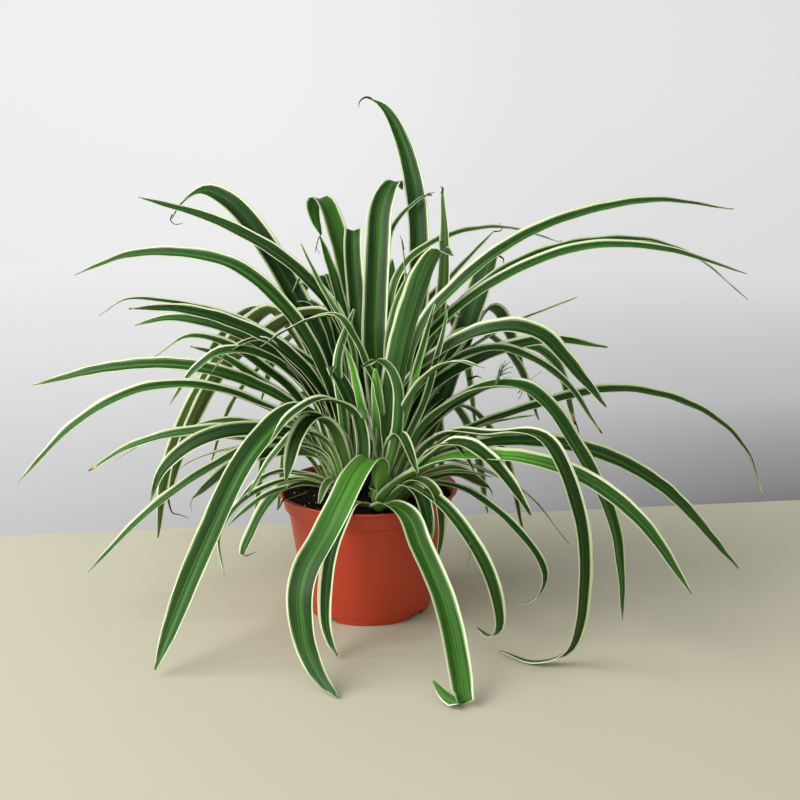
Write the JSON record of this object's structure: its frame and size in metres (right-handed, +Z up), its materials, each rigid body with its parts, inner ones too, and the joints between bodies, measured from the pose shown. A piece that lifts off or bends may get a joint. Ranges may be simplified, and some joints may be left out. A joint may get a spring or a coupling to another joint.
{
  "type": "potted spider plant",
  "caption": "Spider plant with arching strap leaves, narrow cream margins and tufted crowns, growing in a round plastic nursery pot with a flared collar and rolled rim.",
  "frame": {"origin": "centre of the pot's flat underside, on the surface that it stands on", "axes": "+Z up; -Y towards the side that the plant is seen from; +X to the right there"},
  "size_m": [0.6409, 0.4235, 0.4304],
  "materials": {
    "pot_plastic": "satin",
    "potting_mix": "rough",
    "leaf": "satin"
  },
  "bodies": {
    "root": {"pot": "pot_plastic", "soil": "potting_mix", "rosette_left": "leaf", "rosette_front_left": "leaf", "rosette_front_right": "leaf", "rosette_right": "leaf", "rosette_back_right": "leaf", "rosette_back_left": "leaf"}
  },
  "joints": []
}
